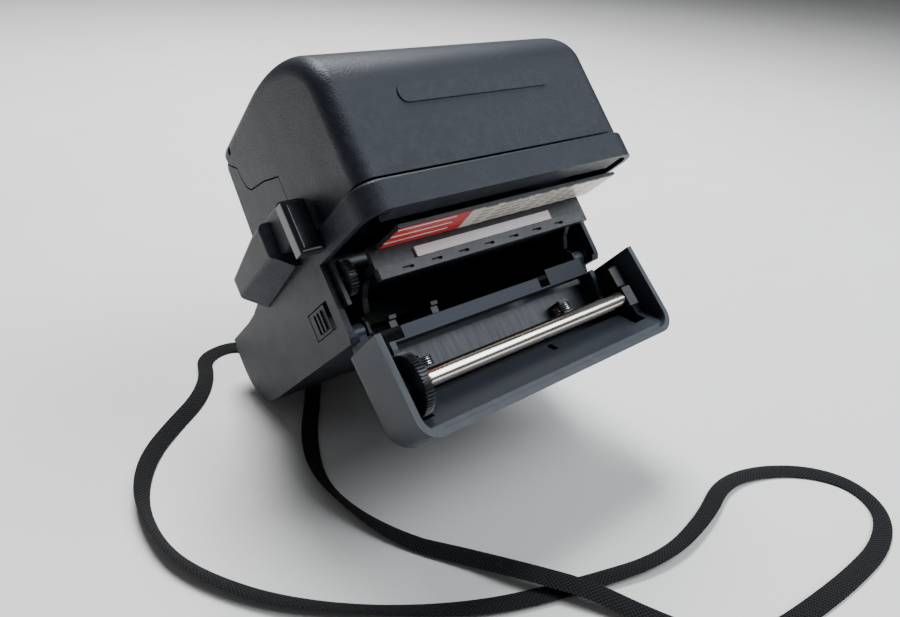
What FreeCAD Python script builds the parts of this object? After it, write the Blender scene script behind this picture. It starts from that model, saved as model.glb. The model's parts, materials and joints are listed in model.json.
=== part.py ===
import FreeCAD, Part
import math
import os

# Instant camera for integral film: flash cover shut, film door open, leaning back on its rear edge.
#
# Each piece is drawn in the camera's own upright frame, in millimetres: x across from the
# middle, y back from the front face, z up from the base. place() then leans the whole camera
# back and puts the origin at the middle of its base face. The film door is drawn shut and
# swung to its open stop.

# Driving dimensions
UPPER_W = 118.0  # flash cover and upper housing
LOWER_W = 123.0  # front frame and lower housing
DOOR_W = 124.0
TOP_Z = 96.0
BACK_Y = 143.0
WALL = 2.2
LEAN = 45.0
BASE_Y = 96.0  # middle of the base face

COVER_BOTTOM = 39.0
COVER_BACK = 46.0
COVER_ARC_Z = 71.0  # the cover's face is upright below this
FLASH_PIVOT = (75.5, 90.5)
BARREL_R = TOP_Z - FLASH_PIVOT[1]

FRAME_TOP, FRAME_BOTTOM = 38.0, 28.0
SPLIT_Z = 30.3  # where the upper and lower housings meet
STEP_Z = 38.0
DOOR_BACK = 38.0
DOOR_TOP = 27.4
DOOR_PIVOT = (46.0, 4.0)
DOOR_OPEN = 85.0
REAR_ROUND = 20.0

ROLLER_R = 3.1
ROLLER_Y, UPPER_ROLLER_Z = 20.4, 20.8
LOWER_ROLLER_Z = UPPER_ROLLER_Z - 2 * ROLLER_R - 0.15
ROLLER_RIGHT = 48.0
JOURNAL_R, PIN_R, RUNNING = 1.5, 1.5, 0.05

GEAR_MODULE = 0.4
ROLLER_TEETH, OUTPUT_TEETH, IDLER_TEETH, PINION_TEETH = 52, 30, 38, 15
MESH_GAP = 0.15
TRAIN_X = (-56.0, -53.4)
SPRINGS_X, SPRING_Z, SPRING_R = (-39.0, 30.0), 9.4, 3.2
SPRING_Y0, SPRING_Y1 = 25.6, 29.0
OUTPUT_AT = (37.8, 21.4)

CLOSE_UP_X = 35.5  # where the close-up lens is parked, beside the taking lens

CHAMBER_HALF = 48.5  # film chamber, inside its cheeks
CHAMBER_CEIL = 17.0
CHAMBER_BACK = 137.5
LABEL_Z = 24.6

COUNTER_AT = (34.0, 130.0)
SCREWS_AT = [(x, y) for x in (-55.0, 55.0) for y in (78.0, 116.0)]
SCREW_R, HEAD_R, SCREW_SINK = 1.25, 2.4, 1.3

STRAP_R = 1.6
STRAP_GAP = 3.6  # the rear edge stands this far off the floor, on the strap under it

UW, LW, DW = UPPER_W / 2, LOWER_W / 2, DOOR_W / 2
V = FreeCAD.Vector


# ---------- making and placing ----------
def box(x0, x1, y0, y1, z0, z1):
    return Part.makeBox(x1 - x0, y1 - y0, z1 - z0, V(x0, y0, z0))


def prism(points, x0, x1):
    """A side profile of (y, z) points, extruded from x0 to x1."""
    wire = Part.makePolygon([V(x0, y, z) for y, z in points + points[:1]])
    return Part.Face(wire).extrude(V(x1 - x0, 0, 0))


def rod_x(x0, x1, y, z, r):
    return Part.makeCylinder(r, x1 - x0, V(x0, y, z), V(1, 0, 0))


def rod_y(x, y0, y1, z, r):
    return Part.makeCylinder(r, y1 - y0, V(x, y0, z), V(0, 1, 0))


def rod_z(x, y, z0, z1, r):
    return Part.makeCylinder(r, z1 - z0, V(x, y, z0), V(0, 0, 1))


def fuse(*shapes):
    whole = shapes[0]
    for s in shapes[1:]:
        whole = whole.fuse(s)
    return whole.removeSplitter()


def cut(shape, *tools):
    for t in tools:
        shape = shape.cut(t)
    return shape


def mirrored(shape):
    return shape.mirror(V(0, 0, 0), V(1, 0, 0))


def both(shape):
    """The shape and its mirror image on the other side."""
    return [shape, mirrored(shape)]


def rounded(shape, radius, chosen):
    return shape.makeFillet(radius, [e for e in shape.Edges if chosen(e)])


def upright(e):
    a, b = e.Vertexes[0].Point, e.Vertexes[-1].Point
    return abs(a.x - b.x) < 1e-6 and abs(a.y - b.y) < 1e-6 and abs(a.z - b.z) > 1


def arc_points(centre, r, start, end, steps):
    """Points of an arc in the side view; angles in degrees, from back (+y) towards up (+z)."""
    angles = [math.radians(start + (end - start) * i / steps) for i in range(steps + 1)]
    return [(centre[0] + r * math.cos(a), centre[1] + r * math.sin(a)) for a in angles]


def place(shape):
    s = shape.copy()
    s.translate(V(0, -BASE_Y, 0))
    s.rotate(V(0, 0, 0), V(1, 0, 0), -LEAN)
    return s


def opened(shape):
    """Swings a piece of the film door from shut to its open stop."""
    s = shape.copy()
    s.rotate(V(0, *DOOR_PIVOT), V(1, 0, 0), DOOR_OPEN)
    return s


def gear_x(x0, x1, at, teeth, bore, turn):
    """A spur gear on an axis along x; turn is the angle of a tooth, in degrees."""
    tip = GEAR_MODULE * (teeth + 1.7) / 2
    root = GEAR_MODULE * (teeth - 2.3) / 2
    step = 360.0 / teeth
    outline = []
    for i in range(teeth):
        for share, r in ((-0.33, root), (-0.11, tip), (0.11, tip), (0.33, root)):
            a = math.radians((i + share) * step + turn)
            outline.append((at[0] + r * math.cos(a), at[1] + r * math.sin(a)))
    return cut(prism(outline, x0, x1), rod_x(x0 - 1, x1 + 1, *at, bore))


# ---------- flash cover, shut over the lens ----------
def cover_half(inset, bottom, back, half_width):
    """The cover's front half: an upright face, then a quarter ellipse up to the flat top."""
    a, b = COVER_BACK - inset, TOP_Z - COVER_ARC_Z - inset
    centre = V(-half_width, COVER_BACK, COVER_ARC_Z)
    ellipse = Part.Ellipse(centre + V(0, -a, 0), centre + V(0, 0, b), centre)
    arc = Part.ArcOfEllipse(ellipse, 0, math.pi / 2).toShape()
    top = V(-half_width, COVER_BACK, TOP_Z - inset)
    path = [top, V(-half_width, back, TOP_Z - inset), V(-half_width, back, bottom),
            V(-half_width, inset, bottom), V(-half_width, inset, COVER_ARC_Z)]
    lines = [Part.makeLine(p, q) for p, q in zip(path, path[1:]) if (q - p).Length > 1e-6]
    wire = Part.Wire(Part.__sortEdges__(lines + [arc]))
    return Part.Face(wire).extrude(V(2 * half_width, 0, 0))


def on_front_rim(e, half_width):
    c = e.CenterOfMass
    return abs(abs(c.x) - half_width) < 0.1 and c.y < COVER_BACK - 0.2 and c.z > COVER_BOTTOM + 0.2


def front_flash_shell():
    outer = cover_half(0, COVER_BOTTOM, COVER_BACK, UW)
    outer = rounded(outer, 6.0, lambda e: on_front_rim(e, UW))
    inner = cover_half(WALL, COVER_BOTTOM - 2, COVER_BACK + 2, UW - WALL)
    inner = rounded(inner, 3.8, lambda e: on_front_rim(e, UW - WALL))
    return outer.cut(inner)


TAB_SEAM = [(46.0, 64.4), (57.2, 68.6), (70.3, 71.7), (73.2, 74.6), (74.3, 78.2), (74.6, 83.0)]


def top_corners(r):
    """What a round of radius r takes off the rear shell's two top side edges."""
    corner = box(UW - 6, UW + 1, 44, 91, TOP_Z - 6, TOP_Z + 1)
    return both(corner.cut(rod_y(UW - 6, 43, 92, TOP_Z - 6, r)))


def rear_flash_shell():
    barrel = arc_points(FLASH_PIVOT, BARREL_R, -70, 90, 16)
    outer = prism([(COVER_BACK, TOP_Z)] + TAB_SEAM + barrel, -UW, UW)
    room = box(WALL - UW, UW - WALL, COVER_BACK - 1, 90, 60, TOP_Z - WALL)
    bar = cut(rod_x(-53, 53, *FLASH_PIVOT, BARREL_R), rod_x(-54, 54, *FLASH_PIVOT, 3.3))
    room = cut(room, *top_corners(3.8))
    shell = cut(outer, *top_corners(6.0), room, rod_x(-UW + WALL, UW - WALL, *FLASH_PIVOT, 4.6))
    return cut(fuse(shell, bar), rod_x(-UW - 1, UW + 1, *FLASH_PIVOT, PIN_R + RUNNING))


def panel_z(y):
    """Height of the cover's inner panel, which slopes a little towards the lens."""
    return 55.5 + 0.0825 * y


def sheet(y0, y1, low, high, x0, x1):
    return prism([(y0, panel_z(y0) + low), (y1, panel_z(y1) + low),
                  (y1, panel_z(y1) + high), (y0, panel_z(y0) + high)], x0, x1)


def flash_pieces():
    horn = prism([(11.5, 60.4), (31.5, 60.4), (25, 76), (18, 76)], -37, 19)
    horn_room = prism([(12.7, 60), (30.3, 60), (24, 74.8), (19, 74.8)], -35.8, 17.8)
    panel = sheet(2.8, 40, 0, 1.6, 2.8 - UW, UW - 2.8)
    panel = rounded(panel, 4.0, lambda e: upright(e) and e.CenterOfMass.y < 3)
    mark = rounded(box(-33, 33, -0.5, 0, 61, 67.6), 3.0, lambda e: abs(e.CenterOfMass.y + 0.25) < 0.1)
    return {
        "flash_inner_panel": panel.cut(box(-36, 18, 12, 31, 50, 70)),
        "flash_window": sheet(12.2, 30.8, 0.2, 1.4, -35.8, 17.8),
        "flash_reflector": horn.cut(horn_room),
        "flash_tube": rod_x(-35.8, 17.8, 21.5, 71.5, 1.5),
        "flash_capacitor": rod_x(24, 52, 27, 73, 6.5),
        "cover_mark": mark,
    }


# ---------- fixed housing ----------
def front_frame():
    outer = box(-LW, LW, -1.5, COVER_BACK + 0.3, FRAME_BOTTOM, FRAME_TOP)
    outer = rounded(outer, 9.0, lambda e: upright(e) and e.CenterOfMass.y < 0)
    outer = rounded(outer, 1.2, lambda e: e.CenterOfMass.z > FRAME_TOP - 0.01 and e.CenterOfMass.y < 45)
    inner = box(WALL - LW, LW - WALL, WALL - 1.5, 48, FRAME_BOTTOM - 1, FRAME_TOP - WALL)
    inner = rounded(inner, 6.8, lambda e: upright(e) and e.CenterOfMass.y < 2)
    flange = box(-LW + 9, LW - 9, 0, 8.6, FRAME_BOTTOM, FRAME_BOTTOM + 1.6)
    return fuse(outer.cut(inner), flange)


SLOPE = [(85.7, 60.0), (90.0, 46.5), (108.0, 36.4)]


def upper_housing():
    """The fixed upper shell behind the lens board: sides, sloping back and the step to the lower half."""
    seam = [(y + 0.4, z - 0.5) for y, z in TAB_SEAM[1:]]
    strip = arc_points(FLASH_PIVOT, BARREL_R + 0.5, -64, -20, 8)
    front = [(COVER_BACK + 0.3, SPLIT_Z), (COVER_BACK + 0.3, 64.0)]
    back = [(82.8, 86.6)] + SLOPE + [(BACK_Y, 33.5), (BACK_Y, SPLIT_Z)]
    outer = prism(front + seam + strip + back, -UW, UW)
    step = prism([(COVER_BACK + 0.3, SPLIT_Z), (COVER_BACK + 0.3, STEP_Z), (94, STEP_Z), (112, 33.5),
                  (BACK_Y, 33.5), (BACK_Y, SPLIT_Z)], -LW, LW)
    outer = rounded(fuse(outer, step), 1.5, lambda e: upright(e) and e.CenterOfMass.y > BACK_Y - 0.1)
    inner = prism([(44, 29), (44, 100), (78.6, 100), (80.2, 84.0), (83.4, 59.5), (88.2, 44.8),
                   (107.4, 34.0), (112, 31.3), (BACK_Y - WALL, 31.3), (BACK_Y - WALL, 29)],
                  WALL - UW, UW - WALL)
    low_inner = prism([(44, 29), (44, STEP_Z - WALL), (93.4, STEP_Z - WALL), (111, 31.3),
                       (BACK_Y - WALL, 31.3), (BACK_Y - WALL, 29)], WALL - LW, LW - WALL)
    eyepiece = box(-42.2, -17.8, 70, 95, 65.8, 80.2)
    counter = box(28, 40, 124, 134, 28, 40)
    return cut(outer, inner, low_inner, eyepiece, counter)


def lower_outline(inset):
    """The lower housing's underside and back, with the large round between them."""
    arc = arc_points((BACK_Y - REAR_ROUND, REAR_ROUND), REAR_ROUND - inset, -90, 0, 16)
    return arc + [(BACK_Y - inset, SPLIT_Z + inset)]


def lower_housing():
    lip = [(DOOR_BACK + 0.5, 4.0), (DOOR_BACK + 0.7, 2.0), (DOOR_BACK + 1.9, 0.0)]
    outline = [(DOOR_BACK + 0.5, SPLIT_Z)] + lip + lower_outline(0)[:-1] + [(BACK_Y, SPLIT_Z)]
    outer = prism(outline, -LW, LW)
    inner = prism([(30, SPLIT_Z + 1), (30, WALL)] + lower_outline(WALL), WALL - LW, LW - WALL)
    notch = box(-57.8, 57.8, 36, 50.6, -1, WALL + 0.1)
    release = box(-LW - 1, 2.4 - LW, 44.2, 61.8, 7.4, 17.6)
    ear = [(54.0, WALL), (54.0, 4.5), (48.5, 8.2), (44.5, 8.2), (42.4, 6), (42.4, 1.8), (50.0, 1.0)]
    lug = prism(ear, 50.9, 52.0).cut(rod_x(48, 58.9, *DOOR_PIVOT, PIN_R))
    lugs = both(lug) + both(lug.translated(V(6.9, 0, 0)))
    holes = [rod_z(x, y, -1, WALL + 1, SCREW_R) for x, y in SCREWS_AT]
    sinks = [rod_z(x, y, -1, SCREW_SINK, HEAD_R) for x, y in SCREWS_AT]
    frame_seat = box(-70, 70, 38, COVER_BACK + 0.3, FRAME_BOTTOM, SPLIT_Z + 1)
    shell = cut(outer, inner, notch, release, frame_seat)
    return cut(fuse(shell, *lugs), *holes, *sinks)


def side_pod():
    """The grip pod on the side; its top falls towards the back and its underside slants inwards."""
    profile = [(50, 33.0), (50, 50.4), (60, 50.4), (91, 46.2), (91, 31.4)]
    pod = prism(profile, -71, -LW)
    slant = Part.makePolygon([V(-72, 49, 39), V(-LW + 0.1, 49, 31), V(-LW + 0.1, 49, 20), V(-72, 49, 20),
                              V(-72, 49, 39)])
    pod = cut(pod, Part.Face(slant).extrude(V(0, 44, 0)))
    pod = rounded(pod, 2.0, lambda e: abs(e.CenterOfMass.x + 71) < 0.1)
    return cut(fuse(pod, prism([(50, STEP_Z), (50, 48), (60, 48), (91, 44.6), (91, STEP_Z)], -LW, -UW)),
               box(-66.8, -62.8, 49, 60, 39.4, 43.6))


def pod_bracket():
    outer = box(-67.0, -UW, 39.2, 50.0, FRAME_TOP, 52.5)
    outer = rounded(outer, 1.5, lambda e: e.CenterOfMass.x < -66.9 and e.CenterOfMass.y < 49)
    return cut(outer, box(-66.4, -63.2, 36, 52, 39.4, 43.6))


def lens_board():
    face = [(47.2, STEP_Z + 0.3), (47.2, 88), (66, 88), (74.0, 79.5), (79.4, 79.5), (79.4, 77.7),
            (73.2, 77.7), (65.2, 86.2), (49.0, 86.2), (49.0, STEP_Z + 0.3)]
    ear = prism([(64, 87.9), (73.4, 92.0), (77, 93.8), (79.2, 90.5), (76.5, 86), (72, 81.7)], 53.5, 56.3)
    holes = [rod_y(0, 40, 60, 58, 13.2), rod_y(-30, 40, 60, 73, 6.3), rod_y(28, 40, 60, 73, 3.8)]
    slots = [box(-12, 12, 40, 60, 77.8, 80.2), box(-3, 39, 40, 60, 41.0, 43.4)]
    finder = box(-42.2, -17.8, 49.5, 90, 65.8, 80.2)
    board = fuse(cut(prism(face, -56.2, 56.2), *holes, *slots, finder), *both(ear))
    return board.cut(rod_x(-60, 60, *FLASH_PIVOT, PIN_R))


def lens_pieces():
    tube = cut(rod_y(0, 43.5, 60, 58, 13.1), rod_y(0, 42, 61, 58, 10.5))
    tube = fuse(tube, cut(rod_y(0, 54, 56, 58, 10.6), rod_y(0, 50, 60, 58, 4.6)))
    finder = cut(box(-42, -18, 50, 84.3, 66, 80), box(-40.6, -19.4, 48, 90, 67.4, 78.6))
    plate = cut(box(-24, 24, 61, 62.6, 44, 65.6), rod_y(0, 58, 66, 58, 5))
    return {
        "lens_barrel": tube,
        "taking_lens": rod_y(0, 46, 48.5, 58, 10.45),
        "shutter_plate": fuse(plate, rod_y(14, 62.6, 65.0, 52, 1.0)),
        "viewfinder_tube": finder,
        "viewfinder_window": rod_y(-30, 47.3, 49.2, 73, 6.2),
        "viewfinder_eyepiece": box(-40.5, -19.5, 82.0, 83.4, 67.5, 78.5),
        "light_sensor": rod_y(28, 46.4, 50, 73, 3.7),
    }


# ---------- film chamber ----------
def film_chamber():
    """The black inner moulding: two cheeks, a ceiling with the light cone and a back wall."""
    front = [(34.5, 21.0), (33.8, 17.4), (36.4, 16.8), (40.4, 13.5), (43.0, 8.8), (50.6, 7.6), (51.0, WALL)]
    round_back = arc_points((BACK_Y - REAR_ROUND, REAR_ROUND), REAR_ROUND - WALL - 0.3, -90, -24, 8)
    rear = [(CHAMBER_BACK + 1.5, 14.0), (CHAMBER_BACK + 1.5, 21.0)]
    cheek = prism(front + round_back + rear, CHAMBER_HALF, CHAMBER_HALF + WALL)
    ceiling = box(-CHAMBER_HALF, CHAMBER_HALF, 34.5, CHAMBER_BACK + 1.5, CHAMBER_CEIL, 19.0)
    back = box(-CHAMBER_HALF, CHAMBER_HALF, CHAMBER_BACK, CHAMBER_BACK + 1.5, 14.0, CHAMBER_CEIL)
    gate = box(-39, 39, 70, 122, CHAMBER_CEIL - 1, 30)
    cone = cut(box(-41, 41, 68, 124, 18.8, 26.0), gate)
    pick_slot = box(48, 51, 124, 135.5, 9.4, 14.6)
    return fuse(cut(ceiling, gate), *both(cheek), back, cone).cut(pick_slot)


def front_pieces():
    """What shows in the film opening: ceiling panel, label, step face, pale strip and steel ledge."""
    holes = [box(x, x + 4.5, 20, 30, 15.6, 16.6) for x in (-41, -29, -17, -5, 7, 19, 31)]
    ledge = box(-50, 47, 24.8, 26.0, 14.4, 18.4)
    post = box(47, 48.4, 24.8, 26.0, 16.0, 18.4)
    return {
        "ceiling_panel": box(-47, 56, 8.9, 26, LABEL_Z + 0.2, LABEL_Z + 1.4),
        "chamber_label": box(-46, 55, 9.6, 25.7, LABEL_Z, LABEL_Z + 0.2),
        "step_face": fuse(box(-50, 50, 26, 28, 14.4, LABEL_Z + 1.4), box(-50, 50, 28, 33.5, 19.0, 21.0)),
        "pale_strip": box(-33.4, 31, 25.0, 26.0, 18.6, 22.2),
        "film_ledge": fuse(cut(ledge, *holes), post),
    }


def hook_tabs():
    """Two small hooks standing on the chamber's floor, which locate the film pack."""
    hook = prism([(54, WALL), (54, 7.0), (51.2, 7.0), (51.2, 5.6), (52.6, 5.2), (52.6, WALL)], -1.5, 1.5)
    return Part.makeCompound([hook.translated(V(x, 0, 0)) for x in (-36, -17)])


# ---------- film door, drawn shut ----------
def door_shell():
    outline = [(DOOR_BACK, 0.8), (DOOR_BACK, DOOR_TOP), (1.5, DOOR_TOP), (2.6, 13.0)]
    outline += arc_points((12.4, 10.6), 9.8, 180, 264, 8)[1:]
    outer = prism(outline, -DW, DW)
    outer = rounded(outer, 7.5, lambda e: abs(abs(e.CenterOfMass.x) - DW) < 0.1
                    and e.CenterOfMass.y < 34 and e.CenterOfMass.z < DOOR_TOP - 0.1)
    room = prism([(DOOR_BACK + 1, 3.0), (DOOR_BACK + 1, DOOR_TOP + 1), (3.6, DOOR_TOP + 1), (4.9, 12.4),
                  (7.0, 7.0), (12.6, 3.6)], WALL - DW, DW - WALL)
    room = rounded(room, 5.4, lambda e: abs(abs(e.CenterOfMass.x) - DW + WALL) < 0.1
                   and e.CenterOfMass.y < 5 and e.CenterOfMass.z > 14)
    arm = fuse(prism([(34, 0.9), (34, 3.2), (44, 6.4), (46, 4.0), (45.0, 1.2)], 52.6, 57.4),
               rod_x(52.6, 57.4, *DOOR_PIVOT, 3.0))
    shell = fuse(outer.cut(room), *both(arm))
    return cut(shell, rod_x(-58, 58, *DOOR_PIVOT, PIN_R + RUNNING))


def hinge_leaf():
    """The leaf along the door's inner edge that shuts the gap over the hinge."""
    return prism([(DOOR_BACK, 1.0), (DOOR_BACK, 4.4), (41.6, 6.2), (43.4, 5.6), (42.6, 2.8)], -50.4, 50.4)


def roller_frame():
    """The door's inner moulding: exit ramp, base, and the end strips level with the ramp's foot."""
    half = DW - WALL - 0.4
    ramp = prism([(3.2, 25.6), (5.4, 25.6), (15.6, 16.2), (15.6, 13.6), (3.6, 22.0)], -half, half)
    wall = box(-half, half, 13.9, 15.6, 4.0, 15.0)
    base = box(-half, half, 13.9, 35.0, 4.0, 5.2)
    strip = [(5.4, 25.6), (12.6, 18.9), (34.5, 18.3), (34.5, 4.0), (13.9, 4.0), (13.9, 15.0), (5.4, 21.6)]
    strips = [prism(strip, -half, -56.4), prism(strip, 55.4, half)]
    boss = prism([(16.6, 18.0), (18.0, 23.4), (22.8, 23.4), (24.2, 18.0)], -half, -56.4)
    arm = prism([(24, 4.0), (24, 11.5), (34, 13.8), (37.0, 14.0), (37.0, 8.6), (33.5, 4.0)], 48.4, 50.6)
    bearings = [rod_x(-60, -50, ROLLER_Y, z, JOURNAL_R + RUNNING) for z in (UPPER_ROLLER_Z, LOWER_ROLLER_Z)]
    gear_slot = box(-56.4, -52.2, 8.6, 33, 8.0, 30)
    pocket = box(48.4, 55.4, 9.4, 15.7, 10, 30)
    notch = box(7.0, 9.6, 12.8, 15.7, 12, 30)
    lower_block = box(-52.1, -50.1, 16.2, 24.0, 4.0, 17.2)
    frame = fuse(ramp, wall, base, boss, lower_block, *strips, *both(arm))
    return cut(frame, gear_slot, pocket, notch, *bearings, door_shell())


def roller_blocks():
    """The black block that holds the rollers' right ends, and the slotted post behind it."""
    block = box(48.6, 53.4, 16.2, 24.0, 5.2, 24.2)
    bearings = [rod_x(40, 60, ROLLER_Y, z, JOURNAL_R + RUNNING) for z in (UPPER_ROLLER_Z, LOWER_ROLLER_Z)]
    post = cut(box(51.0, 55.2, 25.4, 33.4, 5.2, 21.0), box(52.6, 53.8, 27.0, 35, 8, 19.4))
    return Part.makeCompound([cut(block, *bearings), post])


def roller(z, left, journal_left):
    barrel = rod_x(left, ROLLER_RIGHT, ROLLER_Y, z, ROLLER_R)
    return fuse(barrel, rod_x(journal_left, 53.0, ROLLER_Y, z, JOURNAL_R))


def film_shield():
    """A bent sheet strip across the door's back opening, with a longer tongue at its right."""
    span = CHAMBER_HALF - 0.2
    flange = prism([(36.4, 9.0), (37.0, 9.0), (37.0, 13.6), (36.4, 13.6)], -span, span)
    strip = prism([(36.5, 13.0), (41.2, 13.4), (41.2, 14.0), (36.5, 13.6)], -44, 21)
    tongue = prism([(36.5, 13.0), (43.2, 13.9), (43.2, 14.5), (36.5, 13.6)], 26, 46)
    return fuse(flange, strip, tongue)


def coil(x, wire):
    """A compression spring on an axis along y, as the plain sleeve that its coils fill."""
    sleeve = rod_y(x, SPRING_Y0, SPRING_Y1, SPRING_Z, SPRING_R)
    return sleeve.cut(rod_y(x, SPRING_Y0 - 1, SPRING_Y1 + 1, SPRING_Z, SPRING_R - wire))


def spring_seat(x):
    """The two cheeks that a spring works between, and the pin through it."""
    cheeks = [box(x - 2.4, x + 2.4, y, y + 1.2, 4.4, 11.6) for y in (SPRING_Y0 - 1.2, SPRING_Y1)]
    return fuse(*cheeks, rod_y(x, SPRING_Y0 - 1, SPRING_Y1 + 1, SPRING_Z, 1.6))


def door_pieces():
    springs = [coil(x, 0.8) for x in SPRINGS_X]
    seats = [spring_seat(x) for x in SPRINGS_X]
    gear = gear_x(-55.8, -52.8, (ROLLER_Y, UPPER_ROLLER_Z), ROLLER_TEETH, JOURNAL_R, 0.0)
    pieces = {
        "door_shell": door_shell(),
        "hinge_leaf": hinge_leaf(),
        "roller_frame": fuse(roller_frame(), *seats),
        "upper_roller": roller(UPPER_ROLLER_Z, -51.4, -58.8),
        "lower_roller": roller(LOWER_ROLLER_Z, -49.8, -52.0),
        "roller_gear": gear,
        "roller_springs": Part.makeCompound(springs),
        "roller_blocks": roller_blocks(),
        "film_shield": film_shield(),
    }
    return {name: opened(shape) for name, shape in pieces.items()}


# ---------- drive train ----------
def at_distance(at, distance, angle):
    a = math.radians(angle)
    return (at[0] + distance * math.cos(a), at[1] + distance * math.sin(a))


def mesh(first, second):
    return GEAR_MODULE * (first + second) / 2 + MESH_GAP


IDLER_ANGLE, PINION_ANGLE = 22.0, 30.0
IDLER_AT = at_distance(OUTPUT_AT, mesh(OUTPUT_TEETH, IDLER_TEETH), IDLER_ANGLE)
MOTOR_AT = at_distance(IDLER_AT, mesh(IDLER_TEETH, PINION_TEETH), PINION_ANGLE)


def facing_turn(teeth, own_teeth, turn, angle):
    """The turn that puts a gap of the next gear against a tooth of the one before, along angle."""
    phase = ((angle - turn) / (360.0 / own_teeth)) % 1.0
    return angle + 180.0 + (0.5 + phase) * 360.0 / teeth


def drive_pieces():
    idler_turn = facing_turn(IDLER_TEETH, OUTPUT_TEETH, 0.0, IDLER_ANGLE)
    pinion_turn = facing_turn(PINION_TEETH, IDLER_TEETH, idler_turn, PINION_ANGLE)
    pinion = gear_x(*TRAIN_X, MOTOR_AT, PINION_TEETH, 0.8, pinion_turn)
    pinion = fuse(pinion, rod_x(-56.2, -44, *MOTOR_AT, 0.8))
    outline = [(35.6, 12), (35.6, 33), (44, 35.2), (66, 35.2), (66, 24), (54, 15), (44, 12)]
    plate = prism(outline, -58.9, -57.4)
    motor = cut(rod_x(-52.4, -28, *MOTOR_AT, 7.2), rod_x(-53, -43, *MOTOR_AT, 0.85))
    spindles = [rod_x(-57.4, -52.6, *at, 1.0) for at in (OUTPUT_AT, IDLER_AT)]
    return {
        "gear_plate": plate,
        "gear_spindles": Part.makeCompound(spindles),
        "drive_motor": motor,
        "output_gear": gear_x(*TRAIN_X, OUTPUT_AT, OUTPUT_TEETH, 1.0 + RUNNING, 0.0),
        "idler_gear": gear_x(*TRAIN_X, IDLER_AT, IDLER_TEETH, 1.0 + RUNNING, idler_turn),
        "motor_pinion": pinion,
    }


# ---------- controls ----------
def control_pieces():
    button = rounded(box(-70.4, -62.0, 28.5, 34.0, 30.6, 48.4), 1.6, lambda e: e.CenterOfMass.y < 29)
    release = fuse(box(-LW + 0.1, 1.9 - LW, 47.8, 61.4, 7.8, 17.2), *[
        box(-LW - 0.6, 0.2 - LW, y, y + 1.2, 9, 16) for y in (50.5, 53.5, 56.5)])
    exposure = fuse(box(-4, 4, 44.8, 46.9, 76.8, 81.2), box(-1.5, 1.5, 46.5, 49.6, 78.2, 79.8),
                    box(-4, 4, 49.3, 50.6, 76.8, 81.2))
    close_up = fuse(rod_y(CLOSE_UP_X, 42.0, 43.2, 58, 8.6), box(33, 38, 42.0, 43.2, 39.8, 52),
                    box(33, 38, 40.6, 42.0, 40.0, 44.0), box(34, 37, 43.0, 49.6, 41.3, 43.1),
                    box(33, 38, 49.3, 50.6, 39.6, 44.8))
    arm = fuse(box(51.4, 53.0, 90, 134.0, 8.4, 14.0), box(46.0, 53.0, 132.4, 134.0, 10.0, 14.0))
    wheel = cut(rod_z(*COUNTER_AT, 27.6, 30.4, 8.0), rod_z(*COUNTER_AT, 20, 35, 1.5 + RUNNING))
    blade = cut(fuse(box(-6, 15.5, 63.0, 63.8, 51, 64), rod_y(14, 63.0, 63.8, 52, 3.0)),
                rod_y(14, 60, 70, 52, 1.0 + RUNNING))
    return {
        "shutter_button": fuse(button, box(-66.0, -63.6, 33.5, 53.0, 40.2, 42.8)),
        "door_release": release,
        "exposure_slider": exposure,
        "close_up_slider": close_up,
        "film_pick_arm": arm,
        "film_counter_wheel": wheel,
        "shutter_blade": blade,
    }


def small_pieces():
    loop = box(-2.8, 2.8, BACK_Y + 1.4, BACK_Y + 3.6, 18, 30)
    lug = cut(box(-4, 4, BACK_Y, BACK_Y + 4.6, 20, 26), loop)
    screws = [fuse(rod_z(x, y, 0.3, 6.0, SCREW_R), rod_z(x, y, 0.3, SCREW_SINK, HEAD_R))
              for x, y in SCREWS_AT]
    pins = rod_x(53.5, UW - 0.8, *FLASH_PIVOT, PIN_R)
    door_pins = rod_x(50.9, 58.9, *DOOR_PIVOT, PIN_R)
    contact = prism([(56, WALL), (56, 2.6), (70, 2.6), (78, 4.4), (78.4, 4.0), (70, WALL)], -2.5, 2.5)
    return {
        "flash_hinge_pins": Part.makeCompound(both(pins)),
        "door_hinge_pins": Part.makeCompound(both(door_pins)),
        "circuit_board": box(-20, 40, 50, 59, 28.0, 29.6),
        "mirror": prism([(84.0, 42.5), (104.0, 33.2), (103.5, 32.1), (83.5, 41.4)], -36, 24),
        "battery_contacts": Part.makeCompound([contact.translated(V(x, 0, 0)) for x in (-14, 14)]),
        "counter_window": box(28.1, 39.9, 124.1, 133.9, 31.6, 33.0),
        "counter_spindle": rod_z(*COUNTER_AT, 19.0, 31.0, 1.5),
        "strap_lugs": Part.makeCompound([lug.translated(V(x, 0, 0)) for x in (-42, 42)]),
        "case_screws": Part.makeCompound(screws),
    }


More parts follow.
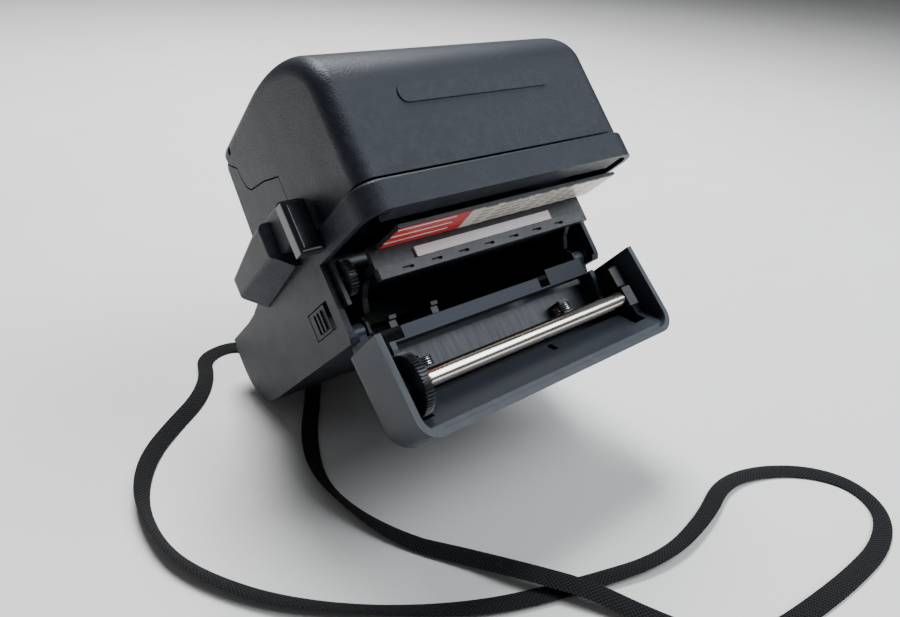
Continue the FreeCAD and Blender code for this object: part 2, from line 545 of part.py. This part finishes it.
# ---------- neck strap, laid on the floor in the placed frame ----------
# (x, y, height above lying flat); the strap leaves the left lug, loops round in front of the
# camera, crosses over itself, passes under the rear edge and ends at the right lug.
STRAP_ROUTE = [
    (-42, 52.8, 6.7), (-43, 65, 1.2), (-52, 80, 0), (-69, 77, 0), (-74, 60, 0), (-84, 46, 0), (-98, 36, 0),
    (-111, 25, 0), (-120, 11, 0), (-125, -5, 0), (-125, -26, 0), (-118, -45, 0), (-104, -66, 0),
    (-80, -88, 0),
    (-52, -106, 0), (-20, -118, 0), (12, -128, 0), (40, -125, 0), (62, -118, 0), (82, -123, 0),
    (99, -135, 0), (107, -150, 0), (101, -165, 0), (82, -172, 0), (58, -172, 0), (34, -170, 0),
    (12, -167, 0), (-5, -156, 0), (-14, -139, 0.6), (-23, -122, 3.7), (-34, -106, 3.8), (-44, -88, 0.8),
    (-57, -69, 0), (-65, -48, 0), (-67, -25, 0), (-57, 0, 0), (-42, 22, 0), (-29, 44, 0), (-11, 62, 0),
    (10, 73, 0), (31, 76, 0), (42, 66, 1.4), (42, 52.8, 6.7),
]
ARC_SHARE = 0.45  # how much of the shorter run beside a point its arc takes up


def floor_z():
    centre = place(Part.Vertex(V(0, BACK_Y - REAR_ROUND, REAR_ROUND))).Point
    return centre.z - REAR_ROUND - STRAP_GAP


def strap_path():
    level = floor_z() + STRAP_R
    points = [V(x, y, level + lift) for x, y, lift in STRAP_ROUTE]
    edges, start, radii = [], points[0], []
    for before, here, after in zip(points, points[1:], points[2:]):
        back, on = before - here, after - here
        reach = ARC_SHARE * min(back.Length, on.Length)
        turn = math.pi - back.getAngle(on)
        back.normalize()
        on.normalize()
        radius = reach / math.tan(turn / 2)
        radii.append(radius)
        inward = (back + on).normalize()
        middle = here + inward * (radius / math.cos(turn / 2) - radius)
        first, last = here + back * reach, here + on * reach
        edges.append(Part.makeLine(start, first))
        edges.append(Part.Arc(first, middle, last).toShape())
        start = last
    edges.append(Part.makeLine(start, points[-1]))
    print("strap radii", [round(r, 1) for r in radii])
    return Part.Wire(edges)


def neck_strap():
    path = strap_path()
    ahead = path.Edges[0].tangentAt(path.Edges[0].FirstParameter)
    ring = Part.Wire(Part.makeCircle(STRAP_R, path.Edges[0].Vertexes[0].Point, ahead))
    tube = path.makePipeShell([ring], True, False)
    expected = math.pi * STRAP_R**2 * path.Length
    print(f"strap {path.Length:.0f} mm long, volume {tube.Volume:.0f} of {expected:.0f}")
    return tube


def main():
    os.makedirs("parts", exist_ok=True)
    nodes = {
        "front_flash_shell": front_flash_shell(),
        "rear_flash_shell": rear_flash_shell(),
        "front_frame": front_frame(),
        "upper_housing": upper_housing(),
        "lower_housing": lower_housing(),
        "side_pod": side_pod(),
        "pod_bracket": pod_bracket(),
        "lens_board": lens_board(),
        "film_chamber": film_chamber(),
        "hook_tabs": hook_tabs(),
    }
    groups = (flash_pieces, lens_pieces, front_pieces, door_pieces,
              drive_pieces, control_pieces, small_pieces)
    for group in groups:
        nodes.update(group())
    for name, shape in nodes.items():
        if not shape.isValid():
            print("invalid", name)
        place(shape).exportStep(f"parts/{name}.step")
    neck_strap().exportStep("parts/neck_strap.step")
    print(len(nodes) + 1, "nodes, floor", round(floor_z(), 3))


main()
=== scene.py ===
import json
import math

import bmesh
import bpy
from mathutils import Matrix, Vector


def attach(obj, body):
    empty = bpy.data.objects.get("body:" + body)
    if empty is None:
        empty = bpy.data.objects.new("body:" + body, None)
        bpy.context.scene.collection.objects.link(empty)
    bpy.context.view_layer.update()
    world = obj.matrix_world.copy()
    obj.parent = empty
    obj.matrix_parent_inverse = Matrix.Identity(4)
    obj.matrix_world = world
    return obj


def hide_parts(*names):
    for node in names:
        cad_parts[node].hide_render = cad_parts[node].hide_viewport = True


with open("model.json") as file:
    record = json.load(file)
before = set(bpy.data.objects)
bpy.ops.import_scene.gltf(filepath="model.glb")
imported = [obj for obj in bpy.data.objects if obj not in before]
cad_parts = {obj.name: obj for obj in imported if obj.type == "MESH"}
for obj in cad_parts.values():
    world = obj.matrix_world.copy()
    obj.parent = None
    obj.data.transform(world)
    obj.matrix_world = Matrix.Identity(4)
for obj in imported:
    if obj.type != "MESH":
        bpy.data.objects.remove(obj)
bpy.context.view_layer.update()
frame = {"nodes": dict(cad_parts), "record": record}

MM = 0.001
# The camera's own upright frame: x across, y back from the front face, z up from the base.
BASE_Y = 96  # mm back from the front face, where the shared frame has its origin
LEAN = math.radians(-45)
UPRIGHT = Matrix.Scale(MM, 4) @ Matrix.Rotation(LEAN, 4, "X") @ Matrix.Translation((0, -BASE_Y, 0))
# The film door drawn shut, turned about its pivot to where it rests open.
DOOR_PIVOT = Vector((0, 46, 4))
DOOR_OPEN = math.radians(85)
DOOR = (
    UPRIGHT @ Matrix.Translation(DOOR_PIVOT) @ Matrix.Rotation(DOOR_OPEN, 4, "X")
    @ Matrix.Translation(-DOOR_PIVOT)
)
# The body's rounded rear edge is its lowest part, and stands just off the floor.
REAR_ROUND_Y, REAR_ROUND_R, OFF_FLOOR = 123, 20, 3.6
REAR_ROUND_AT = UPRIGHT @ Vector((0, REAR_ROUND_Y, REAR_ROUND_R))
FLOOR_Z = REAR_ROUND_AT.z - (REAR_ROUND_R + OFF_FLOOR) * MM


# ---------- camera ----------
# The photograph's camera in the shared frame, in metres, and its lens in millimetres.
VIEW_AT = (-0.1671, -0.2061, 0.1663)
VIEW_RIGHT = Vector((0.7717, -0.6325, 0.0664))
VIEW_DOWN = Vector((-0.2685, -0.4186, -0.8676))
VIEW_AHEAD = Vector((0.5765, 0.6517, -0.4929))
LENS, SENSOR_WIDTH, CLIP_START = 28.6, 36, 0.01


def make_camera():
    data = bpy.data.cameras.new("view")
    cam = bpy.data.objects.new("view", data)
    bpy.context.scene.collection.objects.link(cam)
    data.lens, data.sensor_width = LENS, SENSOR_WIDTH
    turn = Matrix((VIEW_RIGHT, -VIEW_DOWN, -VIEW_AHEAD)).transposed()
    cam.matrix_world = Matrix.Translation(VIEW_AT) @ turn.to_4x4()
    data.clip_start = CLIP_START
    bpy.context.scene.camera = cam


# ---------- materials ----------
NOISE_LOW, NOISE_HIGH = 0.3, 0.7  # where most of a noise texture's values lie
EDGE_LOW = 0.53  # the pointiness at which an outer edge starts to turn paler: worn on most parts, a painted highlight on the ledge
DUST = (0.5, 0.5, 0.48)
NICK = (0.42, 0.43, 0.45)
ACRYLIC_IOR = 1.49


class Nodes:
    """A small helper that builds one Principled material."""

    def __init__(self, name):
        self.mat = bpy.data.materials.new(name)
        self.mat.use_nodes = True
        self.tree = self.mat.node_tree
        self.shader = self.tree.nodes["Principled BSDF"]
        coords = self.add("ShaderNodeTexCoord")
        turn = self.add("ShaderNodeMapping")
        turn.inputs["Rotation"].default_value = (-LEAN, 0, 0)
        turn.inputs["Scale"].default_value = (1 / MM, 1 / MM, 1 / MM)
        self.link(coords.outputs["Object"], turn.inputs["Vector"])
        self.place = turn.outputs["Vector"]  # millimetres, along the upright camera

    def add(self, kind, **values):
        node = self.tree.nodes.new(kind)
        for key, value in values.items():
            if hasattr(node, key):
                setattr(node, key, value)
            else:
                node.inputs[key].default_value = value
        return node

    def link(self, source, target):
        self.tree.links.new(source, target)

    def scaled(self, x, y, z):
        node = self.add("ShaderNodeVectorMath", operation="MULTIPLY")
        self.link(self.place, node.inputs[0])
        node.inputs[1].default_value = (x, y, z)
        return node.outputs[0]

    def noise(self, scale, detail=2.0, rough=0.5, at=None):
        node = self.add("ShaderNodeTexNoise", Scale=scale, Detail=detail, Roughness=rough)
        self.link(at or self.place, node.inputs["Vector"])
        return node.outputs["Fac"]

    def cells(self, scale, at=None):
        node = self.add("ShaderNodeTexVoronoi", Scale=scale)
        self.link(at or self.place, node.inputs["Vector"])
        return node.outputs["Distance"]

    def ramp(self, source, *stops):
        node = self.add("ShaderNodeValToRGB")
        marks = node.color_ramp.elements
        while len(marks) < len(stops):
            marks.new(0.5)
        for mark, (at, colour) in zip(marks, stops):
            mark.position = at
            mark.color = (*colour, 1)
        self.link(source, node.inputs["Fac"])
        return node.outputs["Color"]

    def span(self, source, low, high, to_low=0.0, to_high=1.0):
        node = self.add("ShaderNodeMapRange")
        keys = ("From Min", "From Max", "To Min", "To Max")
        for key, value in zip(keys, (low, high, to_low, to_high)):
            node.inputs[key].default_value = value
        self.link(source, node.inputs["Value"])
        return node.outputs["Result"]

    def tones(self, source, dark, pale):
        """A noise as colours between two."""
        return self.ramp(source, (NOISE_LOW, dark), (NOISE_HIGH, pale))

    def spread(self, source, low, high):
        """A noise as numbers between two."""
        return self.span(source, NOISE_LOW, NOISE_HIGH, low, high)

    def edges(self, high, strength=1.0):
        """How far each point is on a paler outer edge: worn on most parts, a painted highlight on the
        ledge.
        """
        pointiness = self.add("ShaderNodeNewGeometry").outputs["Pointiness"]
        return self.span(pointiness, EDGE_LOW, high, 0, strength)

    def maths(self, operation, a, b=None):
        node = self.add("ShaderNodeMath", operation=operation)
        for socket, value in zip(node.inputs, (a, b)):
            if value is None:
                continue
            if isinstance(value, (int, float)):
                socket.default_value = value
            else:
                self.link(value, socket)
        return node.outputs[0]

    def mix(self, factor, a, b):
        node = self.add("ShaderNodeMix", data_type="RGBA")
        sockets = (node.inputs["Factor"], node.inputs[6], node.inputs[7])
        for socket, value in zip(sockets, (factor, a, b)):
            if isinstance(value, (int, float)):
                socket.default_value = value
            elif isinstance(value, tuple):
                socket.default_value = (*value, 1)
            else:
                self.link(value, socket)
        return node.outputs[2]

    def axes(self):
        node = self.add("ShaderNodeSeparateXYZ")
        self.link(self.place, node.inputs[0])
        return node.outputs

    def bump(self, height, distance_mm):
        node = self.add("ShaderNodeBump", Strength=1.0, Distance=distance_mm * MM)
        self.link(height, node.inputs["Height"])
        self.link(node.outputs["Normal"], self.shader.inputs["Normal"])

    def colour(self, source):
        self.link(source, self.shader.inputs["Base Color"])

    def rough(self, source):
        self.link(source, self.shader.inputs["Roughness"])


def shade(colour, k):
    return tuple(c * k for c in colour)


def plastic(name, colour, rough, grain, depth, wear_and_highlight, gloss=0.5):
    """Moulded plastic: pebbled grain, slow tone changes, dust specks and paler edges, which are worn
    on most parts and a painted highlight on the ledge.

    grain is the pebbles per millimetre, and depth how deep they are, in millimetres;
    wear_and_highlight is how strongly the outer edges turn paler.
    """
    m = Nodes(name)
    slow = m.tones(m.noise(0.035, 3), shade(colour, 0.94), shade(colour, 1.06))
    # Paler patches on outer edges: rubbed plastic on most parts; at the ledge's high setting, mostly a
    # painted highlight along its edges.
    patchy = m.maths("MULTIPLY", m.edges(0.62), m.span(m.noise(0.4, 4), 0.4, 0.7, 0, wear_and_highlight))
    worn = m.mix(patchy, slow, tuple(min(1, c * 2.2 + 0.05) for c in colour))
    specks = m.span(m.cells(0.22, m.scaled(1, 1.3, 0.9)), 0.020, 0.035, 0.3, 0)
    m.colour(m.mix(specks, worn, DUST))
    m.rough(m.spread(m.noise(0.12, 3), rough - 0.025, rough + 0.03))
    m.shader.inputs["Specular IOR Level"].default_value = gloss
    m.bump(m.maths("ADD", m.cells(grain), m.noise(grain * 2.5, 2)), depth)
    return m.mat


def scuffed_plastic(name, colour):
    """The door's satin plastic: long scuffs from front to back, pale nicks and worn edges."""
    m = Nodes(name)
    drawn = m.noise(1.0, 5, 0.65, m.scaled(0.9, 0.06, 0.06))
    base = m.ramp(drawn, (0.32, shade(colour, 0.85)), (0.72, shade(colour, 1.22)))
    nicks = m.span(m.noise(1.9, 6, 0.75), 0.70, 0.74, 0, 0.7)
    m.colour(m.mix(nicks, m.mix(m.edges(0.6, 0.45), base, shade(colour, 2.6)), NICK))
    m.rough(m.spread(drawn, 0.30, 0.46))
    m.shader.inputs["Specular IOR Level"].default_value = 0.28
    m.bump(m.noise(3.0, 4), 0.02)
    return m.mat


def turned_steel(name, colour, rough, across=(0.05, 3, 3)):
    """Ground or drawn metal, with fine lines across the camera's width."""
    m = Nodes(name)
    lines = m.noise(1.0, 5, 0.7, m.scaled(*across))
    m.colour(m.tones(lines, shade(colour, 0.8), shade(colour, 1.08)))
    m.shader.inputs["Metallic"].default_value = 1
    m.rough(m.spread(lines, rough - 0.05, rough + 0.08))
    m.bump(lines, 0.008)
    return m.mat


def clear(name, tint, rough=0.04):
    """Clear plastic or glass, faintly hazy in patches."""
    m = Nodes(name)
    m.colour(m.tones(m.noise(0.1, 2), shade(tint, 0.95), tint))
    m.shader.inputs["Transmission Weight"].default_value = 1
    m.shader.inputs["IOR"].default_value = ACRYLIC_IOR
    m.rough(m.span(m.noise(0.5, 4), 0.4, 0.8, rough, rough + 0.08))
    return m.mat


# The printed label, in millimetres: places across the camera from its middle, and the pitch and
# share of rows that repeat from front to back.
LABEL_SLANT = -0.23  # the printed division leans a little across the label
RED_END = 3.4
BAR_PITCH, BAR_SHARE, BARS_FROM, BARS_TO = 3.1, 0.42, 9, 50
STRIPE_PITCH, STRIPE_SHARE, STRIPES_FROM, STRIPES_TO = 5.2, 0.22, -34.0, -3.0
PALE_END = -42.5


def label_print(name):
    """A red field with plain white stripes and a cream field with plain grey bars; no lettering."""
    m = Nodes(name)
    x, y, _ = m.axes()
    slant = m.maths("ADD", x, m.maths("MULTIPLY", y, LABEL_SLANT))
    red = m.maths("LESS_THAN", slant, RED_END)
    paper = m.tones(m.noise(0.3, 3), (0.72, 0.66, 0.58), (0.82, 0.77, 0.69))
    ink = m.tones(m.noise(0.5, 3), (0.60, 0.03, 0.03), (0.72, 0.05, 0.045))
    base = m.mix(red, paper, ink)
    v = m.maths("ADD", y, BASE_Y)
    # broken grey bars on the cream field
    rows = m.maths("LESS_THAN", m.maths("FRACT", m.maths("DIVIDE", v, BAR_PITCH)), BAR_SHARE)
    bars = m.maths("GREATER_THAN", m.noise(0.35, 1, 0.4, m.scaled(1, 0.02, 0.02)), 0.47)
    inside = m.maths("GREATER_THAN", slant, BARS_FROM)
    clear_end = m.maths("LESS_THAN", x, BARS_TO)
    printed = m.maths("MULTIPLY", rows, bars)
    mask = m.maths("MULTIPLY", printed, m.maths("MULTIPLY", inside, clear_end))
    base = m.mix(m.maths("MULTIPLY", mask, 0.75), base, (0.10, 0.09, 0.10))
    # white stripes on the red field, and its pale left end
    share = m.maths("FRACT", m.maths("DIVIDE", v, STRIPE_PITCH))
    stripe = m.maths("LESS_THAN", share, STRIPE_SHARE)
    after = m.maths("GREATER_THAN", slant, STRIPES_FROM)
    before = m.maths("LESS_THAN", slant, STRIPES_TO)
    span = m.maths("MULTIPLY", after, before)
    end = m.maths("LESS_THAN", slant, PALE_END)
    mask = m.maths("MAXIMUM", m.maths("MULTIPLY", stripe, span), end)
    m.colour(m.mix(mask, base, (0.86, 0.84, 0.80)))
    m.rough(m.spread(m.noise(0.6, 3), 0.28, 0.4))
    return m.mat


WEAVE_PITCH = 1.5  # mm
WEAVE_TURN = 2 * math.pi / WEAVE_PITCH


def woven(name):
    """Black flat webbing: a plain weave, from the ribbon's own UVs, with painted shade in the weave's
    hollows.
    """
    m = Nodes(name)
    uv = m.add("ShaderNodeUVMap", uv_map="lay").outputs[0]
    split = m.add("ShaderNodeSeparateXYZ")
    m.link(uv, split.inputs[0])
    along = m.maths("MULTIPLY", split.outputs[0], WEAVE_TURN)
    across = m.maths("MULTIPLY", split.outputs[1], WEAVE_TURN)
    weave = m.maths("MULTIPLY", m.maths("SINE", along), m.maths("SINE", across))
    fuzz = m.noise(6, 3)
    height = m.maths("ADD", m.maths("MULTIPLY", weave, 0.5), fuzz)
    # Colour follows the weave's height: painted shade makes the hollows darker than the crests, and
    # the fuzz noise adds random tone.
    m.colour(m.ramp(height, (0.15, (0.002, 0.002, 0.0025)), (0.95, (0.026, 0.026, 0.029))))
    m.rough(m.spread(fuzz, 0.75, 0.92))
    m.shader.inputs["Specular IOR Level"].default_value = 0.25
    m.bump(height, 0.45)
    return m.mat


MATERIALS = {
    "shell_plastic": plastic("shell", (0.018, 0.021, 0.030), 0.42, 1.9, 0.085, 0.25, gloss=0.25),
    "inner_plastic": plastic("inner", (0.008, 0.009, 0.012), 0.36, 3.0, 0.012, 0.3, gloss=0.3),
    "door_plastic": scuffed_plastic("door", (0.024, 0.028, 0.036)),
    # The ledge's strong edge paling (0.9) is mostly a painted highlight along its outer edges, with
    # some wear.
    "ledge_plastic": plastic("ledge", (0.022, 0.022, 0.025), 0.36, 3.0, 0.01, 0.9, gloss=0.3),
    "dark_steel": turned_steel("shield", (0.020, 0.021, 0.024), 0.34, across=(0.03, 2, 2)),
    "gloss_plastic": plastic("gloss", (0.010, 0.011, 0.015), 0.16, 4.0, 0.004, 0.1, gloss=0.8),
    "bright_steel": turned_steel("roller", (0.86, 0.78, 0.70), 0.16),
    "sheet_steel": turned_steel("sheet", (0.33, 0.34, 0.36), 0.36),
    "spring_steel": turned_steel("spring", (0.62, 0.62, 0.62), 0.22),
    "pale_metal": turned_steel("ledge", (0.60, 0.62, 0.65), 0.38),
    "clear_plastic": clear("window", (0.92, 0.95, 0.97)),
    "lens_glass": clear("lens", (0.55, 0.58, 0.70), rough=0.02),
    "mirror_face": turned_steel("mirror", (0.85, 0.86, 0.88), 0.06),
    "printed_label": label_print("label"),
    "pale_plastic": plastic("strip", (0.62, 0.55, 0.55), 0.4, 3.0, 0.01, 0.05),
    "board_green": plastic("board", (0.02, 0.11, 0.05), 0.35, 1.0, 0.03, 0.1),
    "contact_brass": turned_steel("brass", (0.70, 0.50, 0.20), 0.25),
    "strap_web": woven("strap"),
    "gear_plastic": plastic("gear", (0.012, 0.013, 0.016), 0.36, 3.0, 0.006, 0.35),
}
SLOT_OF = {s["node"]: s["material_slot"] for s in frame["record"]["subparts"]}


def finish_cad_nodes():
    """Every CAD node keeps its shape and gets its slot's material."""
    for name, obj in frame["nodes"].items():
        obj.data.materials.clear()
        obj.data.materials.append(MATERIALS[SLOT_OF[name]])


# ---------- pieces ----------
SHARP_FROM = math.radians(35)


def new_piece(name, bm, to_row, slot, body, replaces):
    """A mesh piece in the shared frame, on a body, in place of the named CAD nodes."""
    mesh = bpy.data.meshes.new(name)
    bmesh.ops.transform(bm, matrix=to_row, verts=bm.verts)
    bmesh.ops.recalc_face_normals(bm, faces=bm.faces)
    bm.to_mesh(mesh)
    bm.free()
    obj = bpy.data.objects.new(name, mesh)
    bpy.context.scene.collection.objects.link(obj)
    mesh.materials.append(MATERIALS[slot])
    for poly in mesh.polygons:
        poly.use_smooth = True
    mesh.set_sharp_from_angle(angle=SHARP_FROM)
    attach(obj, body)
    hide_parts(*replaces)
    return obj


# The neck strap's route: (x, y, height above lying flat), in millimetres, as in the CAD.
STRAP_ROUTE = [
    (-42, 52.8, 6.7), (-43, 65, 1.2), (-52, 80, 0), (-69, 77, 0), (-74, 60, 0), (-84, 46, 0),
    (-98, 36, 0), (-111, 25, 0), (-120, 11, 0), (-125, -5, 0), (-125, -26, 0), (-118, -45, 0),
    (-104, -66, 0), (-80, -88, 0), (-52, -106, 0), (-20, -118, 0), (12, -128, 0), (40, -125, 0),
    (62, -118, 0), (82, -123, 0), (99, -135, 0), (107, -150, 0), (101, -165, 0), (82, -172, 0),
    (58, -172, 0), (34, -170, 0), (12, -167, 0), (-5, -156, 0), (-14, -139, 0.6), (-23, -122, 3.7),
    (-34, -106, 3.8), (-44, -88, 0.8), (-57, -69, 0), (-65, -48, 0), (-67, -25, 0), (-57, 0, 0),
    (-42, 22, 0), (-29, 44, 0), (-11, 62, 0), (10, 73, 0), (31, 76, 0), (42, 66, 1.4), (42, 52.8, 6.7),
]
STRAP_WIDTH, STRAP_THICK = 6.8 * MM, 1.1 * MM
STRAP_LIE = 0.8 * MM  # the webbing's middle, above the floor
STRAP_CELLS = 6  # faces across each side of the webbing
SPLINE_ORDER, SPLINE_STEPS = 3, 12


def strap_line():
    """Points read from the route's smooth spline."""
    curve = bpy.data.curves.new("strap_route", "CURVE")
    curve.dimensions = "3D"
    curve.resolution_u = SPLINE_STEPS
    spline = curve.splines.new("NURBS")
    spline.points.add(len(STRAP_ROUTE) - 1)
    for point, (x, y, lift) in zip(spline.points, STRAP_ROUTE):
        point.co = (x * MM, y * MM, FLOOR_Z + STRAP_LIE + lift * MM, 1)
    spline.order_u = SPLINE_ORDER
    spline.use_endpoint_u = True
    route = bpy.data.objects.new("strap_route", curve)
    bpy.context.scene.collection.objects.link(route)
    mesh = bpy.data.meshes.new_from_object(route)
    line = [v.co.copy() for v in mesh.vertices]
    bpy.data.objects.remove(route)
    return line


# Where the webbing stands partly on edge: x, y and reach in millimetres, and tilt in degrees.
STRAP_TILTS = (
    (-126, -14, 42, 46), (-88, -82, 34, 26), (20, -128, 36, 12), (104, -146, 38, -8),
    (30, -171, 40, 14), (-64, -36, 34, -50), (-84, 50, 26, 20),
)
STRAP_TILT = 5.0  # degrees, all along it, before those are added


def strap_tilt(at):
    """The webbing's tilt at a point, in radians."""
    total = STRAP_TILT
    for x, y, reach, tilt in STRAP_TILTS:
        away = math.hypot(at.x / MM - x, at.y / MM - y) / reach
        total += tilt * math.exp(-away * away)
    return math.radians(total)


def neck_strap():
    """Flat webbing that follows the route, tilting as it turns."""
    line = strap_line()
    bm = bmesh.new()
    lay = bm.loops.layers.uv.new("lay")
    rings, travelled = [], 0.0
    for i, at in enumerate(line):
        before, after = line[max(i - 1, 0)], line[min(i + 1, len(line) - 1)]
        along = (after - before).normalized()
        travelled += (at - before).length if i else 0.0
        side = along.cross(Vector((0, 0, 1))).normalized()
        up = side.cross(along).normalized()
        tilt = strap_tilt(at)
        rise = Vector((0, 0, STRAP_WIDTH / 2 * abs(math.sin(tilt))))
        side, up = (side * math.cos(tilt) + up * math.sin(tilt),
                    up * math.cos(tilt) - side * math.sin(tilt))
        ring = []
        for top in (1, -1):
            for k in range(STRAP_CELLS + 1):
                t = (k / STRAP_CELLS - 0.5) * 2
                crown = (1 - abs(t) ** 3) * STRAP_THICK / 2
                place = at + rise + side * t * top * STRAP_WIDTH / 2 + up * top * crown
                ring.append((bm.verts.new(place), travelled, t * top * STRAP_WIDTH / 2))
        rings.append(ring)
    for first, second in zip(rings, rings[1:]):
        count = len(first)
        for k in range(count):
            after = (k + 1) % count
            corners = (first[k], first[after], second[after], second[k])
            face = bm.faces.new([c[0] for c in corners])
            for loop, corner in zip(face.loops, corners):
                loop[lay].uv = (corner[1] / MM, corner[2] / MM)
    for ring in (rings[0], rings[-1]):
        bm.faces.new([c[0] for c in ring])
    strap = new_piece("neck_strap_webbing", bm, Matrix.Identity(4), "strap_web", "camera",
                      ["neck_strap"])


def tube_along(bm, points, radius, sides=10):
    """A round wire that follows the points."""
    rings = []
    for i, at in enumerate(points):
        along = (points[min(i + 1, len(points) - 1)] - points[max(i - 1, 0)]).normalized()
        side = along.orthogonal() if i == 0 else (side - along * side.dot(along))
        side.normalize()
        other = along.cross(side)
        rings.append([bm.verts.new(at + (side * math.cos(a) + other * math.sin(a)) * radius)
                      for a in (2 * math.pi * k / sides for k in range(sides))])
    for first, second in zip(rings, rings[1:]):
        for k in range(sides):
            after = (k + 1) % sides
            bm.faces.new((first[k], first[after], second[after], second[k]))
    bm.faces.new(rings[0][::-1])
    bm.faces.new(rings[-1])


# The roller springs, in the door's own frame, in millimetres.
SPRING_XS, SPRING_Y, SPRING_Z = (-39.0, 30.0), 25.9, 9.4
SPRING_R, SPRING_LENGTH, SPRING_WIRE_R = 2.8, 2.8, 0.3
SPRING_TURNS, SPRING_STEPS = 3.5, 24


def roller_springs():
    """The two coils that press the rollers together, as one piece."""
    bm = bmesh.new()
    count = int(SPRING_TURNS * SPRING_STEPS)
    for x in SPRING_XS:
        points = []
        for i in range(count + 1):
            a = 2 * math.pi * i / SPRING_STEPS
            points.append(Vector((x + SPRING_R * math.cos(a), SPRING_Y + SPRING_LENGTH * i / count,
                                  SPRING_Z + SPRING_R * math.sin(a))))
        tube_along(bm, points, SPRING_WIRE_R)
    new_piece("roller_spring_coils", bm, DOOR, "spring_steel", "film_door", ["roller_springs"])


# ---------- stage ----------
FLOOR_SIZE = 8  # m
# name, place (m), size (m), power (W), colour; each light faces the origin
LIGHTS = (
    ("window", (0.26, 0.62, 1.15), 0.6, 32, (0.93, 0.97, 1.0)),
    ("ceiling", (0.65, -0.6, 0.95), 0.8, 14, (0.86, 0.93, 1.0)),
)
ROOM_COLOUR, ROOM_STRENGTH = (0.86, 0.89, 0.95, 1), 0.13


def stage():
    """A plain pale floor."""
    bpy.ops.mesh.primitive_plane_add(size=FLOOR_SIZE, location=(0, 0, FLOOR_Z))
    floor = bpy.context.object
    floor.name = "floor"
    m = Nodes("floor")
    m.colour(m.tones(m.noise(0.004, 3), (0.83, 0.80, 0.755), (0.88, 0.855, 0.815)))
    m.rough(m.spread(m.noise(0.05, 3), 0.6, 0.75))
    m.bump(m.noise(1.2, 3), 0.05)
    floor.data.materials.append(m.mat)


def area_light(name, at, size, power, colour):
    data = bpy.data.lights.new(name, "AREA")
    data.energy, data.size, data.color = power, size, colour
    light = bpy.data.objects.new(name, data)
    bpy.context.scene.collection.objects.link(light)
    light.location = at
    light.rotation_mode = "QUATERNION"
    light.rotation_quaternion = (-Vector(at)).to_track_quat("-Z", "Y")


def lights():
    world = bpy.data.worlds.new("room")
    bpy.context.scene.world = world
    world.use_nodes = True
    background = world.node_tree.nodes["Background"]
    background.inputs["Color"].default_value = ROOM_COLOUR
    background.inputs["Strength"].default_value = ROOM_STRENGTH
    for light in LIGHTS:
        area_light(*light)


make_camera()
neck_strap()
finish_cad_nodes()
roller_springs()
stage()
lights()
